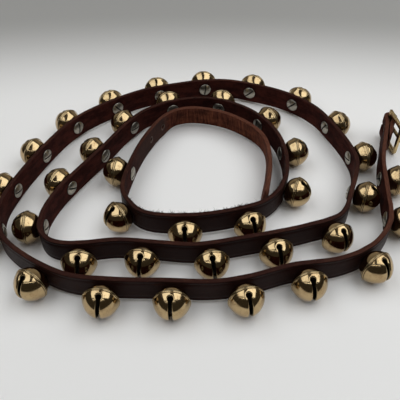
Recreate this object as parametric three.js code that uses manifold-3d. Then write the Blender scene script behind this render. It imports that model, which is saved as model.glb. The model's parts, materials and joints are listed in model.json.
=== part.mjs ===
// A sleigh bell strap: a leather strap standing on its edge, laid in a loose coil of nearly three turns,
// with a row of brass crotal bells on its outer side and a buckle at its outer end.
// Millimetres, +Z up. The origin is on the floor, under the middle of the strap's box.

import * as THREE from "three";
import { mergeVertices } from "three/addons/utils/BufferGeometryUtils.js";
import Module from "manifold-3d";

const wasm = await Module();
wasm.setup();

// Clearances
const fitGap = 0.3; // between pieces that touch on the real strap
const turnClearance = 0.5; // between a bell and the next turn of the strap
const turnApart = 100; // stretches nearer than this along the strap are the same turn
const spreadStep = 0.5;
const foldGap = 0.5; // between the two layers of leather behind the buckle bar

// Strap
const strapWidth = 22.2;
const strapThickness = 4;
const billetLength = 288; // free tip to the first bell
const buckleEndLength = 85; // last bell to the buckle bar
const turnBackLength = 32; // leather folded back past the bar
const splayLength = 12; // where the two layers part to go round the bar
const strapStep = 10; // longest facet along the strap
const foldSteps = 8; // facets round the bar
const billetHoleCount = 2;
const billetHolePitch = 24;
const billetHoleDiameter = 5;
const billetHoleFromBell = 54; // first bell to the nearest buckle hole
const holeSides = 6;

// Bells
const bellCount = 38;
const bellPitch = 51.8;
const wideSpace = 62; // one space in the row is wider than the others
const wideSpaceAfter = 30; // bells before it
const bellDiameter = 28.6;
const outerDepth = 13.4; // from the ridge to the outer pole
const innerDepth = 10; // from the ridge to the seat on the strap
const domeFullness = 1.9; // 2 is an ellipse, less is more pointed at the ridge
const bellWall = 1.5;
const slitWidth = 2.8;
const keyholeDiameter = 5;
const keyholeAngle = THREE.MathUtils.degToRad(66); // from the outer pole
const bellSides = 10;
const domeSteps = 3; // facets from the ridge to a pole
const cavitySteps = 2;

// Shank and slotted screw head that clamp a bell to the strap
const shankDiameter = 6;
const headDiameter = 13;
const headHeight = 2.6;
const headCrown = 0.6; // flat top of the head as a share of its diameter

// Loose iron pellets, one in every second bell
const pelletDiameter = 8;
const pelletEvery = 2;
const pelletSides = 8;
const pelletRings = 4;

// Buckle
const barDiameter = 4;
const frameRail = 4.5;
const frameThickness = 3;
const frameLength = 30; // bar to the far edge of the frame
const frameCorner = 5;
const openingMargin = 1.4; // between the strap's edge and the frame's rail
const frameFoldAngle = THREE.MathUtils.degToRad(157); // how far the frame is folded back beside the strap
const tongueWidth = 4;
const tongueThickness = 2.4;
const tongueOverhang = 1; // tip past the far edge of the frame
const tongueSlotLength = 18; // slot in the folded leather, measured back from the bar
const tongueSlotMargin = 0.7;
const barSides = 12;
const cornerSteps = 4;

// Colours and finishes
const leather = { color: 0x2a1611, roughness: 0.62, metalness: 0 };
const brass = { color: 0xb58f45, roughness: 0.22, metalness: 1 };
const agedBrass = { color: 0x9a7a38, roughness: 0.32, metalness: 1 };
const iron = { color: 0x4b4a47, roughness: 0.55, metalness: 0.9 };

// How the strap lies, seen from above: its middle line from the free tip, counter-clockwise, to the buckle.
// The points are chosen by hand. Past the last one the strap runs straight on.
const lay = [
  [50, -52], [57, -10], [55, 26], [44, 46], [16, 69], [-20, 77], [-41, 67], [-60, 33], [-74, -20],
  [-75, -50], [-57, -74], [-18, -79], [22, -72], [50, -60], [67, -36], [73, 2], [66, 41], [45, 73],
  [10, 94], [-30, 93], [-64, 74], [-82, 50], [-100, 14], [-131, -45], [-139, -72], [-139, -90],
  [-129, -105], [-110, -110], [-74, -106], [-40, -109], [-12, -111], [26, -104], [84, -89], [110, -77],
  [126, -44], [137, -12], [137, 8], [127, 46], [112, 80], [84, 107], [30, 130], [4, 132], [-31, 125],
  [-71, 111], [-104, 89], [-133, 61], [-152, 26], [-175, -44], [-177, -74], [-164, -104], [-112, -139],
  [-72, -145], [-32, -146], [2, -147], [26, -143], [64, -131], [100, -125], [128, -111], [149, -84],
  [155, -52], [164, 0], [187, 64],
];

// Distance along the strap from the free tip to a bell.
function bellDistance(index) {
  const wider = index < wideSpaceAfter ? 0 : wideSpace - bellPitch;
  return billetLength + index * bellPitch + wider;
}

// Sizes that follow from the ones above
const bellRadius = bellDiameter / 2;
const axisHeight = Math.max(bellRadius, strapWidth / 2); // bells, or the strap's edge, stand on the floor
const seatOffset = strapThickness / 2 + fitGap; // strap's middle to a bell's seat
const ridgeOffset = seatOffset + innerDepth;
const poleOffset = ridgeOffset + outerDepth;
const bellFlat = headDiameter + 2 * fitGap; // the strap is flat where a bell is clamped on it
const cavityRadius = bellRadius - bellWall;
const pelletDrop = cavityRadius * Math.cos(Math.PI / bellSides) - pelletDiameter / 2 - fitGap;
const frameOpening = strapWidth + 2 * openingMargin;
const frameHeight = frameOpening + 2 * frameRail;
const frameMiddle = Math.max(frameHeight / 2 + fitGap, axisHeight);
const foldRadius = barDiameter / 2 + fitGap + strapThickness / 2;
const layerHalf = (strapThickness + foldGap) / 2;
const strapRun = bellDistance(bellCount - 1) + buckleEndLength; // free tip to the bar
const endStraight = turnBackLength + splayLength;

// Solids for cutting and joining

function toSolid(geometry) {
  const bare = geometry.clone();
  bare.deleteAttribute("normal");
  bare.deleteAttribute("uv");
  const merged = mergeVertices(bare, 1e-4);
  const vertProperties = new Float32Array(merged.attributes.position.array);
  const triVerts = new Uint32Array(merged.index.array);
  return new wasm.Manifold(new wasm.Mesh({ numProp: 3, vertProperties, triVerts }));
}

function toGeometry(solid) {
  const mesh = solid.getMesh();
  const geometry = new THREE.BufferGeometry();
  geometry.setAttribute("position", new THREE.BufferAttribute(new Float32Array(mesh.vertProperties), 3));
  geometry.setIndex(new THREE.BufferAttribute(new Uint32Array(mesh.triVerts), 1));
  geometry.computeVertexNormals();
  return geometry;
}

// A point of a dome's outline: 0 at the ridge, 1 at the pole.
function domePoint(share, radius, depth, fullness) {
  const angle = (share * Math.PI) / 2;
  const power = 2 / fullness;
  return new THREE.Vector2(radius * Math.cos(angle) ** power, depth * Math.sin(angle) ** power);
}

// Bells

// Outline of a bell with its shank and screw head: distance from the axis, and height from the strap's middle.
function bellOutline() {
  const headSeat = -seatOffset;
  const headTop = headSeat - headHeight;
  const points = [
    [0, headTop],
    [(headDiameter / 2) * headCrown, headTop],
    [headDiameter / 2, headSeat],
    [shankDiameter / 2, headSeat],
    [shankDiameter / 2, seatOffset],
  ].map(([radius, height]) => new THREE.Vector2(radius, height));
  for (let i = domeSteps - 1; i > 0; i -= 1) {
    const point = domePoint(i / domeSteps, bellRadius, innerDepth, domeFullness);
    points.push(new THREE.Vector2(point.x, ridgeOffset - point.y));
  }
  for (let i = 0; i < domeSteps; i += 1) {
    const point = domePoint(i / domeSteps, bellRadius, outerDepth, domeFullness);
    points.push(new THREE.Vector2(point.x, ridgeOffset + point.y));
  }
  points.push(new THREE.Vector2(0, poleOffset));
  return points;
}

function cavityOutline() {
  const ellipse = 2;
  const points = [new THREE.Vector2(0, ridgeOffset - innerDepth + bellWall)];
  for (let i = cavitySteps - 1; i > 0; i -= 1) {
    const point = domePoint(i / cavitySteps, cavityRadius, innerDepth - bellWall, ellipse);
    points.push(new THREE.Vector2(point.x, ridgeOffset - point.y));
  }
  for (let i = 0; i < cavitySteps; i += 1) {
    const point = domePoint(i / cavitySteps, cavityRadius, outerDepth - bellWall, ellipse);
    points.push(new THREE.Vector2(point.x, ridgeOffset + point.y));
  }
  points.push(new THREE.Vector2(0, poleOffset - bellWall));
  return points;
}

// Turns an outline about the bell's axis, which lies along +X, pointing away from the strap.
function turned(outline) {
  return new THREE.LatheGeometry(outline, bellSides).rotateZ(-Math.PI / 2);
}

// The slit over the outer pole, in the upright plane, with a round hole at each end.
function slitCutter() {
  const reach = bellDiameter; // well past the wall
  const holeX = outerDepth * Math.cos(keyholeAngle);
  const holeZ = bellRadius * Math.sin(keyholeAngle);
  const slit = new THREE.BoxGeometry(reach, slitWidth, 2 * holeZ);
  slit.translate(ridgeOffset + holeX + reach / 2, 0, 0);
  let cutter = toSolid(slit);
  for (const side of [-1, 1]) {
    const hole = new THREE.CylinderGeometry(keyholeDiameter / 2, keyholeDiameter / 2, bellRadius, holeSides);
    const outward = new THREE.Vector3(holeX, 0, side * holeZ).normalize();
    hole.applyQuaternion(new THREE.Quaternion().setFromUnitVectors(new THREE.Vector3(0, 1, 0), outward));
    hole.translate(ridgeOffset + holeX, 0, side * holeZ);
    cutter = cutter.add(toSolid(hole));
  }
  return cutter;
}

function bellGeometry() {
  const shell = toSolid(turned(bellOutline())).subtract(toSolid(turned(cavityOutline())));
  return toGeometry(shell.subtract(slitCutter()));
}

function pelletGeometry() {
  return new THREE.SphereGeometry(pelletDiameter / 2, pelletSides, pelletRings).rotateX(Math.PI / 2);
}

// The strap's lie

// The line through the points, with each turn moved out by the same spread from the turn inside it.
function layCurve(spread) {
  let swept = 0;
  let before = null;
  const points = lay.map(([x, y]) => {
    const point = new THREE.Vector3(x, y, 0);
    if (before) {
      swept += Math.atan2(before.x * y - before.y * x, before.x * x + before.y * y);
    }
    before = point;
    const turns = swept / (2 * Math.PI);
    return point.clone().addScaledVector(point.clone().normalize(), turns * spread);
  });
  const curve = new THREE.CatmullRomCurve3(points, false, "centripetal");
  curve.arcLengthDivisions = lay.length * 20;
  return curve;
}

// Middle of the strap at a distance along it from the free tip.
function pointAlong(curve, distance) {
  const length = curve.getLength();
  if (distance <= length) {
    return curve.getPointAt(distance / length);
  }
  return curve.getPointAt(1).addScaledVector(curve.getTangentAt(1), distance - length);
}

function outwardOf(direction) {
  return new THREE.Vector3(direction.y, -direction.x, 0).normalize();
}

function divided(from, to, step) {
  const count = Math.ceil(Math.abs(to - from) / step);
  return Array.from({ length: count }, (_, i) => from + ((to - from) * i) / count);
}

// Where the bells sit: a flat stretch of strap, its middle and the way it faces.
function bellPlaces(curve) {
  const places = [];
  for (let i = 0; i < bellCount; i += 1) {
    const distance = bellDistance(i);
    const start = pointAlong(curve, distance - bellFlat / 2);
    const end = pointAlong(curve, distance + bellFlat / 2);
    const middle = start.clone().lerp(end, 0.5);
    const outward = outwardOf(end.clone().sub(start));
    places.push({ distance, middle, outward, angle: Math.atan2(outward.y, outward.x) });
  }
  return places;
}

// A point beside a bell's place: away from the strap's middle, and to one side along the strap.
function besidePlace(place, away, side) {
  const along = new THREE.Vector3(-place.outward.y, place.outward.x, 0);
  return place.middle.clone().addScaledVector(place.outward, away).addScaledVector(along, side);
}

// Straight stretches of leather and screw heads, seen from above.
function stretches(curve, places) {
  const stops = divided(0, strapRun, strapStep);
  const headTop = -seatOffset - headHeight;
  const leatherParts = stops.slice(1).map((distance, i) => ({
    distance,
    line: new THREE.Line3(pointAlong(curve, stops[i]), pointAlong(curve, distance)),
    half: strapThickness / 2,
  }));
  const heads = places.map((place) => ({
    distance: place.distance,
    line: new THREE.Line3(
      besidePlace(place, headTop, -headDiameter / 2),
      besidePlace(place, headTop, headDiameter / 2),
    ),
    half: 0,
  }));
  return [...leatherParts, ...heads];
}

// How near the bells come to the leather and screw heads of another turn.
function leastTurnRoom(curve, places) {
  const parts = stretches(curve, places);
  const nearest = new THREE.Vector3();
  let least = Infinity;
  for (const place of places) {
    const others = parts.filter((part) => Math.abs(part.distance - place.distance) > turnApart);
    const outline = bellOutline().flatMap(({ x, y }) => [besidePlace(place, y, x), besidePlace(place, y, -x)]);
    for (const point of outline) {
      for (const { line, half } of others) {
        line.closestPointToPoint(point, true, nearest);
        least = Math.min(least, nearest.distanceTo(point) - half);
      }
    }
  }
  return least;
}

// The turns are spread until every bell clears the turn outside it.
let spread = 0;
let coil = layCurve(spread);
let places = bellPlaces(coil);
while (leastTurnRoom(coil, places) < turnClearance) {
  spread += spreadStep;
  coil = layCurve(spread);
  places = bellPlaces(coil);
}
console.log(`Turns spread by ${spread} mm, bells clear them by ${leastTurnRoom(coil, places).toFixed(2)} mm`);

// The buckle end: straight, with the bar between the strap and its turned-back end.
const straightStart = strapRun - endStraight;
const endPoint = pointAlong(coil, straightStart);
const endDirection = endPoint.clone().sub(pointAlong(coil, straightStart - strapStep)).normalize();
const endOutward = outwardOf(endDirection);
const endAngle = Math.atan2(endDirection.y, endDirection.x);
const barPoint = endPoint
  .clone()
  .addScaledVector(endDirection, endStraight)
  .addScaledVector(endOutward, layerHalf);

// Half the distance between the middles of the two layers, at a distance back from the bar.
function layerOffset(back) {
  const parted = THREE.MathUtils.smoothstep(splayLength - back, 0, splayLength);
  return THREE.MathUtils.lerp(layerHalf, foldRadius, parted);
}

function besideBar(back, side) {
  return barPoint
    .clone()
    .addScaledVector(endDirection, -back)
    .addScaledVector(endOutward, side * layerOffset(back));
}

// Points along the strap's middle line, with the height of its middle, from the free tip to the turned-back end.
function strapLine() {
  const stops = [];
  let from = 0;
  for (const place of places) {
    stops.push(...divided(from, place.distance - bellFlat / 2, strapStep));
    stops.push(place.distance - bellFlat / 2);
    from = place.distance + bellFlat / 2;
  }
  const liftStart = from;
  stops.push(...divided(from, straightStart, strapStep));
  const points = stops.map((distance) => pointAlong(coil, distance));
  const layerStep = splayLength / 4;
  const backs = divided(endStraight, 0, layerStep);
  points.push(...backs.map((back) => besideBar(back, -1)));
  for (let i = 0; i <= foldSteps; i += 1) {
    const angle = Math.PI * (i / foldSteps - 0.5);
    const point = barPoint.clone().addScaledVector(endDirection, foldRadius * Math.cos(angle));
    points.push(point.addScaledVector(endOutward, foldRadius * Math.sin(angle)));
  }
  const turnedBack = [...divided(0, turnBackLength, layerStep).slice(1), turnBackLength];
  points.push(...turnedBack.map((back) => besideBar(back, 1)));
  let distance = 0;
  points.forEach((point, i) => {
    distance += i > 0 ? point.distanceTo(points[i - 1]) : 0;
    const lifted = THREE.MathUtils.smoothstep(distance, liftStart, straightStart);
    point.z = THREE.MathUtils.lerp(axisHeight, frameMiddle, lifted);
  });
  return points;
}

// Sideways step from the middle line to the strap's face at each point, mitred between the two facets.
function mitres(line) {
  return line.map((point, i) => {
    const after = line[Math.min(i + 1, line.length - 1)];
    const before = line[Math.max(i - 1, 0)];
    const inward = outwardOf((i > 0 ? point : after).clone().sub(i > 0 ? before : point));
    const onward = outwardOf((after === point ? point : after).clone().sub(after === point ? before : point));
    const middle = inward.clone().add(onward).normalize();
    return middle.multiplyScalar(strapThickness / 2 / middle.dot(onward));
  });
}

// A four-cornered skin along the line, closed at both ends.
function strapSkin(line) {
  const positions = [];
  const index = [];
  mitres(line).forEach((step, i) => {
    const point = line[i];
    for (const [side, up] of [[-1, -1], [1, -1], [1, 1], [-1, 1]]) {
      positions.push(point.x + side * step.x, point.y + side * step.y, point.z + (up * strapWidth) / 2);
    }
  });
  const corners = 4;
  for (let i = 0; i < line.length - 1; i += 1) {
    for (let k = 0; k < corners; k += 1) {
      const here = i * corners + k;
      const beside = i * corners + ((k + 1) % corners);
      index.push(here, here + corners, beside, beside, here + corners, beside + corners);
    }
  }
  const last = (line.length - 1) * corners;
  index.push(0, 1, 2, 0, 2, 3, last, last + 2, last + 1, last, last + 3, last + 2);
  const geometry = new THREE.BufferGeometry();
  geometry.setAttribute("position", new THREE.Float32BufferAttribute(positions, 3));
  geometry.setIndex(index);
  return geometry;
}

// Prints the least gap between one stretch of the strap and another.
function reportLeastGap(line) {
  const apart = 2 * Math.PI * foldRadius + strapThickness; // nearer points are the same bend
  const distances = [0];
  line.slice(1).forEach((point, i) => distances.push(distances[i] + point.distanceTo(line[i])));
  let least = Infinity;
  for (let i = 0; i < line.length; i += 1) {
    for (let k = i + 1; k < line.length; k += 1) {
      if (distances[k] - distances[i] > apart) {
        const between = Math.hypot(line[k].x - line[i].x, line[k].y - line[i].y);
        least = Math.min(least, between - strapThickness);
      }
    }
  }
  console.log(`Strap: ${distances.at(-1).toFixed(0)} mm long, least gap to itself ${least.toFixed(2)} mm`);
}

// A round hole straight through the strap.
function holeCutter(diameter, point, angle) {
  const radius = diameter / 2 / Math.cos(Math.PI / holeSides);
  const hole = new THREE.CylinderGeometry(radius, radius, strapThickness * 3, holeSides);
  hole.rotateZ(-Math.PI / 2);
  hole.rotateZ(angle);
  hole.translate(point.x, point.y, axisHeight);
  return toSolid(hole);
}

function tongueSlotCutter() {
  const front = foldRadius + strapThickness;
  const slot = new THREE.BoxGeometry(
    tongueSlotLength + front,
    2 * (foldRadius + strapThickness),
    tongueWidth + 2 * tongueSlotMargin,
  );
  slot.translate((front - tongueSlotLength) / 2, 0, 0);
  slot.rotateZ(endAngle);
  slot.translate(barPoint.x, barPoint.y, frameMiddle);
  return toSolid(slot);
}

function strapGeometry() {
  const line = strapLine();
  reportLeastGap(line);
  let strap = toSolid(strapSkin(line));
  for (const place of places) {
    strap = strap.subtract(holeCutter(shankDiameter + 2 * fitGap, place.middle, place.angle));
  }
  for (let i = 0; i < billetHoleCount; i += 1) {
    const distance = billetLength - billetHoleFromBell - i * billetHolePitch;
    const direction = pointAlong(coil, distance + strapStep).sub(pointAlong(coil, distance - strapStep));
    const outward = outwardOf(direction);
    const angle = Math.atan2(outward.y, outward.x);
    strap = strap.subtract(holeCutter(billetHoleDiameter, pointAlong(coil, distance), angle));
  }
  return toGeometry(strap.subtract(tongueSlotCutter()));
}

// Buckle: +Y runs from the bar to the far edge of the frame, and the tongue lies on the -X side

function upright(shape, depth) {
  const settings = { depth, bevelEnabled: false, curveSegments: cornerSteps };
  return new THREE.ExtrudeGeometry(shape, settings).translate(0, 0, -depth / 2);
}

// Three sides of the frame, as a plate in the upright plane, and the round bar that closes it.
function frameGeometry() {
  const half = frameHeight / 2;
  const plate = new THREE.Shape();
  plate.moveTo(-half, -barDiameter / 2);
  plate.lineTo(half, -barDiameter / 2);
  plate.lineTo(half, frameLength - frameCorner);
  plate.absarc(half - frameCorner, frameLength - frameCorner, frameCorner, 0, Math.PI / 2);
  plate.lineTo(-half + frameCorner, frameLength);
  plate.absarc(-half + frameCorner, frameLength - frameCorner, frameCorner, Math.PI / 2, Math.PI);
  plate.closePath();
  const window = new THREE.BoxGeometry(frameOpening, frameLength, 2 * frameThickness);
  window.translate(0, frameLength / 2 - frameRail, 0);
  const rails = toSolid(upright(plate, frameThickness)).subtract(toSolid(window));
  const bar = new THREE.CylinderGeometry(barDiameter / 2, barDiameter / 2, frameHeight - frameRail, barSides);
  bar.rotateZ(Math.PI / 2);
  return toGeometry(rails.add(toSolid(bar))).rotateY(Math.PI / 2);
}

// A ring round the bar and a straight prong that lies on the frame's far rail.
function tongueGeometry() {
  const ringInner = barDiameter / 2 + fitGap;
  const near = frameThickness / 2 + fitGap;
  const far = near + tongueThickness;
  const tip = frameLength + tongueOverhang;
  const ring = new THREE.Shape().absarc(0, 0, far, 0, 2 * Math.PI);
  const eye = new THREE.CylinderGeometry(ringInner, ringInner, 2 * tongueWidth, barSides).rotateX(Math.PI / 2);
  const prong = new THREE.Shape();
  prong.moveTo(-near, 0);
  prong.lineTo(-near, tip);
  prong.lineTo(-near - tongueThickness / 2, tip);
  prong.lineTo(-far, tip - tongueThickness);
  prong.lineTo(-far, 0);
  prong.closePath();
  const whole = toSolid(upright(ring, tongueWidth)).add(toSolid(upright(prong, tongueWidth)));
  return toGeometry(whole.subtract(toSolid(eye)));
}

// The whole strap

function piece(name, geometry, finish) {
  const mesh = new THREE.Mesh(geometry, new THREE.MeshStandardMaterial(finish));
  mesh.name = name;
  return mesh;
}

function numbered(word, i) {
  return `${word}_${String(i + 1).padStart(2, "0")}`;
}

function makeBells() {
  const row = new THREE.Group();
  const shell = bellGeometry();
  const pellet = pelletGeometry();
  places.forEach((place, i) => {
    const bell = new THREE.Group();
    bell.position.set(place.middle.x, place.middle.y, axisHeight);
    bell.rotation.z = place.angle;
    bell.add(piece(numbered("bell", i), shell, brass));
    if (i % pelletEvery === 0) {
      const loose = piece(numbered("pellet", i), pellet, iron);
      loose.position.set(ridgeOffset, 0, -pelletDrop);
      bell.add(loose);
    }
    row.add(bell);
  });
  return row;
}

function makeBuckle() {
  const buckle = new THREE.Group();
  buckle.position.set(barPoint.x, barPoint.y, frameMiddle);
  buckle.rotation.z = endAngle - frameFoldAngle - Math.PI / 2;
  buckle.add(piece("buckle_frame", frameGeometry(), agedBrass));
  buckle.add(piece("buckle_tongue", tongueGeometry(), agedBrass));
  return buckle;
}

function makeStrap() {
  const whole = new THREE.Group();
  whole.add(piece("strap", strapGeometry(), leather));
  whole.add(makeBells());
  whole.add(makeBuckle());
  const middle = new THREE.Box3().setFromObject(whole, true).getCenter(new THREE.Vector3());
  whole.position.set(-middle.x, -middle.y, 0);
  return whole;
}

export default makeStrap();
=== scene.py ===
# Sleigh bell strap: leather, brass bells and buckle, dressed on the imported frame.
import json
import math
import random

import bmesh
import bpy
import numpy as np
from mathutils import Matrix, Vector, kdtree, noise


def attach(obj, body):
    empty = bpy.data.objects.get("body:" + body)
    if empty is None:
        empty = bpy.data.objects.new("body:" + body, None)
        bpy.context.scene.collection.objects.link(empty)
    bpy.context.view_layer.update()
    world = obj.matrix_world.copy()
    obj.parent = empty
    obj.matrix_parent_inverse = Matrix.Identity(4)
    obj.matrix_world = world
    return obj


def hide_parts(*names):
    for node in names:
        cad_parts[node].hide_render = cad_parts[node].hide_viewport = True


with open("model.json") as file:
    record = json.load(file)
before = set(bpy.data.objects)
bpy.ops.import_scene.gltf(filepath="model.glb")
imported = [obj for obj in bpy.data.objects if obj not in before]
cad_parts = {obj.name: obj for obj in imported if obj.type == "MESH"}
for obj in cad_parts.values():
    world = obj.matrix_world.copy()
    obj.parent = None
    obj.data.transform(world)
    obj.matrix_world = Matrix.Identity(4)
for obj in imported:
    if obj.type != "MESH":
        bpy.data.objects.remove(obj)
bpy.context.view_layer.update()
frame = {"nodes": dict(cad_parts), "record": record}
print("frame loaded:", len(frame["nodes"]), "nodes")

mm = 0.001
diceSeed = 38
dice = random.Random(diceSeed)


# Small helpers for meshes

def makeObject(name, bm, materials, smooth=True):
    bmesh.ops.recalc_face_normals(bm, faces=bm.faces)
    mesh = bpy.data.meshes.new(name)
    bm.to_mesh(mesh)
    bm.free()
    for material in materials:
        mesh.materials.append(material)
    for polygon in mesh.polygons:
        polygon.use_smooth = smooth
    made = bpy.data.objects.new(name, mesh)
    bpy.context.scene.collection.objects.link(made)
    return made


def addLoops(bm, loops):
    # skins a list of closed loops with the same count of points, and closes both ends
    rows = [[bm.verts.new(point) for point in loop] for loop in loops]
    for here, after in zip(rows, rows[1:]):
        for i in range(len(here)):
            k = (i + 1) % len(here)
            bm.faces.new((here[i], here[k], after[k], after[i]))
    bm.faces.new(rows[0])
    bm.faces.new(rows[-1])


def setFloat(mesh, name, values):
    attribute = mesh.attributes.new(name, "FLOAT", "POINT")
    attribute.data.foreach_set("value", np.asarray(values, np.float32).ravel())


def setVector(mesh, name, values):
    attribute = mesh.attributes.new(name, "FLOAT_VECTOR", "POINT")
    attribute.data.foreach_set("vector", np.asarray(values, np.float32).ravel())


def modifiedMesh(obj):
    # a new mesh with the object's modifiers in it
    bpy.context.view_layer.update()
    graph = bpy.context.evaluated_depsgraph_get()
    return bpy.data.meshes.new_from_object(obj.evaluated_get(graph))


def cutWith(obj, cutter):
    # cuts one object out of the other and throws the cutter away
    modifier = obj.modifiers.new("cut", "BOOLEAN")
    modifier.operation = "DIFFERENCE"
    modifier.solver = "EXACT"
    modifier.object = cutter
    cut = modifiedMesh(obj)
    obj.modifiers.clear()
    old = obj.data
    obj.data = cut
    bpy.data.meshes.remove(old)
    bpy.data.meshes.remove(cutter.data)


def ease(share):
    share = min(max(share, 0.0), 1.0)
    return share * share * (3 - 2 * share)


# Small helpers for materials

noiseMiddle = 0.5


def feed(tree, node, inputs):
    # links what comes from other nodes, and sets what is the same all over
    for name, value in inputs.items():
        if isinstance(value, bpy.types.NodeSocket):
            tree.links.new(value, node.inputs[name])
        else:
            node.inputs[name].default_value = value


def put(tree, kind, inputs=None, **settings):
    made = tree.nodes.new(kind)
    for name, value in settings.items():
        setattr(made, name, value)
    feed(tree, made, inputs or {})
    return made


def newMaterial(name):
    material = bpy.data.materials.new(name)
    material.use_nodes = True
    tree = material.node_tree
    return material, tree, tree.nodes["Principled BSDF"]


def mixColour(tree, factor, first, second):
    return put(tree, "ShaderNodeMix", {0: factor, 6: first, 7: second}, data_type="RGBA").outputs[2]


def mixValue(tree, factor, first, second):
    return put(tree, "ShaderNodeMix", {0: factor, 2: first, 3: second}, data_type="FLOAT").outputs[0]


def calc(tree, operation, first, second=0.0):
    return put(tree, "ShaderNodeMath", {0: first, 1: second}, operation=operation).outputs[0]


def calcVector(tree, operation, first, second):
    return put(tree, "ShaderNodeVectorMath", {0: first, 1: second}, operation=operation).outputs["Vector"]


def weighed(tree, values, weights):
    # the sum of named values, each times its weight
    total = 0.0
    for name, weight in weights.items():
        total = calc(tree, "ADD", total, calc(tree, "MULTIPLY", values[name], weight))
    return total


def fit(tree, value, low, high, toLow=0.0, toHigh=1.0):
    inputs = {"Value": value, "From Min": low, "From Max": high, "To Min": toLow, "To Max": toHigh}
    return put(tree, "ShaderNodeMapRange", inputs, interpolation_type="SMOOTHSTEP").outputs["Result"]


def inMillimetres(tree, where):
    return calcVector(tree, "MULTIPLY", where, (1 / mm, 1 / mm, 1 / mm))


def objectPlace(tree):
    return inMillimetres(tree, put(tree, "ShaderNodeTexCoord").outputs["Object"])


def noiseOf(tree, where, cells, detail, roughness):
    # cells to the millimetre, alike all ways or one count for each way
    if isinstance(cells, tuple):
        where = calcVector(tree, "MULTIPLY", where, cells)
        cells = 1.0
    inputs = {"Vector": where, "Scale": cells, "Detail": detail, "Roughness": roughness}
    return put(tree, "ShaderNodeTexNoise", inputs).outputs["Fac"]


def allNoises(tree, where, table):
    return {name: noiseOf(tree, where, *row) for name, row in table.items()}


def bumpOf(tree, height, strength, distance):
    inputs = {"Height": height, "Strength": strength, "Distance": distance}
    return put(tree, "ShaderNodeBump", inputs).outputs["Normal"]


# How the strap lies, from its free tip at the inside, counter-clockwise, to the buckle

strapCut = {
    "width": 22.2 * mm,
    "thickness": 4.0 * mm,
    "tipToFirstBell": 288 * mm,
    "lastBellToBar": 85 * mm,
    "turnBack": 32 * mm,
    "turnBackSteps": 20,
    "splay": 12 * mm,
    "layerGap": 0.5 * mm,
    "foldSteps": 18,
    "aimLength": 10 * mm,  # over which the direction of the buckle end is taken
    "ringStep": 1.6 * mm,
    "smoothing": 3,
    "faceCorner": 0.9 * mm,
    "fleshCorner": 0.45 * mm,
    "cornerSteps": 3,
    "grainRows": (-0.45, -0.15, 0.15, 0.45),  # shares of half the width
    "fleshRows": (0.75, 0.45, 0.15, -0.15, -0.45, -0.75),
    "edgeRows": (0.15, -0.35),  # shares of half the thickness
    "creaseFromEdge": 2.7 * mm,
    "creaseWidth": 1.1 * mm,
    "creaseDepth": 0.3 * mm,
    "tipRounding": 3.5 * mm,
    "skive": 10 * mm,
    "skivedTo": 0.62,
    "unevenFace": 0.084 * mm,
    "unevenEdge": 0.14 * mm,
    "unevenWave": 19 * mm,
    "unevenRows": (0.0, 7.3, 14.6),  # places in the noise for the face, the top and the bottom edge
    "unevenSeed": 2.1,
    "lean": math.radians(11),  # the free end leans inwards at the top, as far as its buckle holes
    "leanUntil": 211 * mm,
    "leanFade": 24 * mm,
    "tipLean": math.radians(19),  # and at its tip the other way
    "tipLeanFrom": 100 * mm,
    "tipLeanFade": 85 * mm,
}
bellRow = {
    "count": 38,
    "pitch": 51.8 * mm,
    "wideSpace": 62 * mm,
    "wideAfter": 30,
    "flat": 13.6 * mm,  # length of strap that a bell and its screw hold flat
    "pelletEvery": 2,
}
fitGap = 0.3 * mm
bellRadius = 14.3 * mm
frameMiddle = 17.3 * mm
barRadius = 2.0 * mm
frameFold = math.radians(157)  # back from in line with the strap

layPoints = [
    (50, -52), (57, -10), (55, 26), (44, 46), (16, 69), (-20, 77), (-41, 67), (-60, 33), (-74, -20),
    (-75, -50), (-57, -74), (-18, -79), (22, -72), (50, -60), (67, -36), (73, 2), (66, 41), (45, 73),
    (10, 94), (-30, 93), (-64, 74), (-82, 50), (-100, 14), (-131, -45), (-139, -72), (-139, -90),
    (-129, -105), (-110, -110), (-74, -106), (-40, -109), (-12, -111), (26, -104), (84, -89),
    (110, -77), (126, -44), (137, -12), (137, 8), (127, 46), (112, 80), (84, 107), (30, 130), (4, 132),
    (-31, 125), (-71, 111), (-104, 89), (-133, 61), (-152, 26), (-175, -44), (-177, -74), (-164, -104),
    (-112, -139), (-72, -145), (-32, -146), (2, -147), (26, -143), (64, -131), (100, -125), (128, -111),
    (149, -84), (155, -52), (164, 0), (187, 64),
]  # millimetres
mounts = {mount["name"]: mount for mount in frame["record"]["mounts"]}
tipPlace = np.array(mounts["free_tip"]["pos_m"][:2])
shift = tipPlace - np.array(layPoints[0]) * mm  # from the chosen points to the part's own frame


def smoothLine(points, perSpan=40):
    # centripetal Catmull-Rom through the points
    chain = np.vstack([2 * points[0] - points[1], points, 2 * points[-1] - points[-2]])
    line = []
    for before, here, there, after in zip(chain[:-3], chain[1:-2], chain[2:-1], chain[3:]):
        first = math.sqrt(np.linalg.norm(here - before))
        middle = math.sqrt(np.linalg.norm(there - here))
        last = math.sqrt(np.linalg.norm(after - there))
        leaving = ((here - before) / first - (there - before) / (first + middle)) * middle + there - here
        arriving = ((after - there) / last - (after - here) / (middle + last)) * middle + there - here
        for share in np.linspace(0, 1, perSpan, endpoint=False):
            left = 1 - share
            bend = leaving * share * left ** 2 - arriving * share ** 2 * left
            line.append(here + (there - here) * ease(share) + bend)
    line.append(points[-1])
    return np.array(line)


layLine = smoothLine(np.array(layPoints) * mm + shift)
layDistance = np.concatenate([[0], np.cumsum(np.linalg.norm(np.diff(layLine, axis=0), axis=1))])


def pointAlong(distance):
    if distance <= layDistance[-1]:
        return np.array([np.interp(distance, layDistance, layLine[:, k]) for k in (0, 1)])
    last = layLine[-1] - layLine[-2]
    return layLine[-1] + last / np.linalg.norm(last) * (distance - layDistance[-1])


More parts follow.
